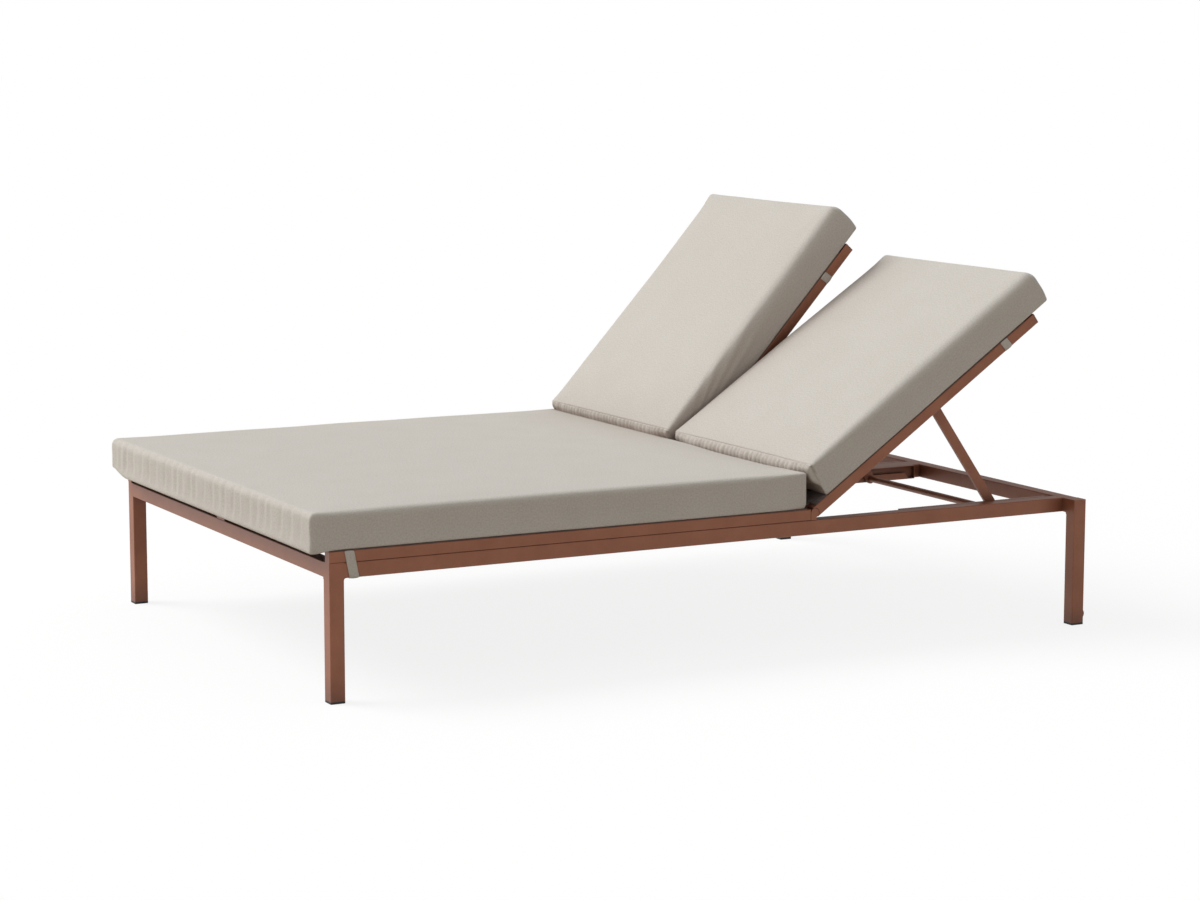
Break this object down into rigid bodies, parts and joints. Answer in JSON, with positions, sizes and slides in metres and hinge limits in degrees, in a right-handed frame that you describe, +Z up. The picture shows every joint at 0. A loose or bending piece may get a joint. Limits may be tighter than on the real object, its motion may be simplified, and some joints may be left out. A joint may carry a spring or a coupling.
{
  "type": "double chaise lounger",
  "caption": "Double patio chaise lounger with a metal frame, thick box cushions and two backs that recline separately on notched racks.",
  "frame": {"origin": "on the floor, under the middle of the whole lounger", "axes": "+Z up, +Y from the foot end to the head end, +X to the right of a person lying on it as seen from the foot end"},
  "size_m": [1.42, 2.0503, 0.9985],
  "materials": {
    "frame_paint": "copper-brown powder coat, satin",
    "cushion_fabric": "greige woven outdoor canvas, matt",
    "sling_fabric": "dark brown-grey mesh sling",
    "black_plastic": "matt black",
    "brown_plastic": "matt brown end cap",
    "steel": "plain steel pins"
  },
  "bodies": {
    "base": {"leg_foot_right": "frame_paint", "leg_foot_left": "frame_paint", "leg_head_right": "frame_paint", "leg_head_left": "frame_paint", "front_rail": "frame_paint", "head_rail": "frame_paint", "side_rail_right": "frame_paint", "side_rail_left": "frame_paint", "centre_beam": "frame_paint", "seat_rail_right": "frame_paint", "seat_rail_left": "frame_paint", "seat_rail_centre": "frame_paint", "cross_tubes_mid": "frame_paint", "cross_tubes_head": "frame_paint", "seat_sling_right": "sling_fabric", "seat_sling_left": "sling_fabric", "seat_cushion": "cushion_fabric", "seat_strap_right": "cushion_fabric", "seat_strap_left": "cushion_fabric", "foot_caps": "black_plastic", "hinge_block_right": "frame_paint", "hinge_block_left": "frame_paint", "hinge_block_centre": "frame_paint", "hinge_pins": "steel", "rack_outer_right": "frame_paint", "rack_outer_left": "frame_paint", "rack_inner_right": "frame_paint", "rack_inner_left": "frame_paint", "roller_axles": "steel"},
    "back_right": {"back_right_side_tube_outer": "frame_paint", "back_right_side_tube_inner": "frame_paint", "back_right_end_caps": "brown_plastic", "back_right_lower_cross": "frame_paint", "back_right_upper_cross": "frame_paint", "back_right_hinge_arms": "frame_paint", "back_right_hinge_bushes": "black_plastic", "back_right_pivot_pins": "steel", "back_right_sling": "sling_fabric", "back_right_straps": "cushion_fabric", "back_right_cushion": "cushion_fabric"},
    "stay_right": {"stay_right_legs": "frame_paint", "stay_right_foot_bar": "frame_paint", "stay_right_bushes": "black_plastic"},
    "roller_right": {"roller_right": "black_plastic"},
    "back_left": {"back_left_side_tube_outer": "frame_paint", "back_left_side_tube_inner": "frame_paint", "back_left_end_caps": "brown_plastic", "back_left_lower_cross": "frame_paint", "back_left_upper_cross": "frame_paint", "back_left_hinge_arms": "frame_paint", "back_left_hinge_bushes": "black_plastic", "back_left_pivot_pins": "steel", "back_left_sling": "sling_fabric", "back_left_straps": "cushion_fabric", "back_left_cushion": "cushion_fabric"},
    "stay_left": {"stay_left_legs": "frame_paint", "stay_left_foot_bar": "frame_paint", "stay_left_bushes": "black_plastic"},
    "roller_left": {"roller_left": "black_plastic"}
  },
  "joints": [
    {"name": "recline_right", "type": "hinge", "parent": "base", "child": "back_right", "pos_m": [0.344, 0.26375, 0.331], "axis": [1, 0, 0], "range_deg": [-13.1, 13.3]},
    {"name": "stay_swing_right", "type": "hinge", "parent": "back_right", "child": "stay_right", "pos_m": [0.3265, 0.61766, 0.57523], "axis": [1, 0, 0], "range_deg": [-36.7, 36.1]},
    {"name": "recline_left", "type": "hinge", "parent": "base", "child": "back_left", "pos_m": [-0.344, 0.26375, 0.331], "axis": [1, 0, 0], "range_deg": [-26.4, 0]},
    {"name": "stay_swing_left", "type": "hinge", "parent": "back_left", "child": "stay_left", "pos_m": [-0.3265, 0.55208, 0.65001], "axis": [1, 0, 0], "range_deg": [0, 78]},
    {"name": "roller_spin_right", "type": "hinge", "parent": "base", "child": "roller_right", "pos_m": [0.6925, 1.01025, 0.026], "axis": [1, 0, 0], "continuous": true},
    {"name": "roller_spin_left", "type": "hinge", "parent": "base", "child": "roller_left", "pos_m": [-0.6925, 1.01025, 0.026], "axis": [1, 0, 0], "continuous": true}
  ],
  "couplings": [
    {"joint": "stay_swing_right", "follows": "recline_right", "ratio": -2.75},
    {"joint": "stay_swing_left", "follows": "recline_left", "ratio": -2.95}
  ]
}
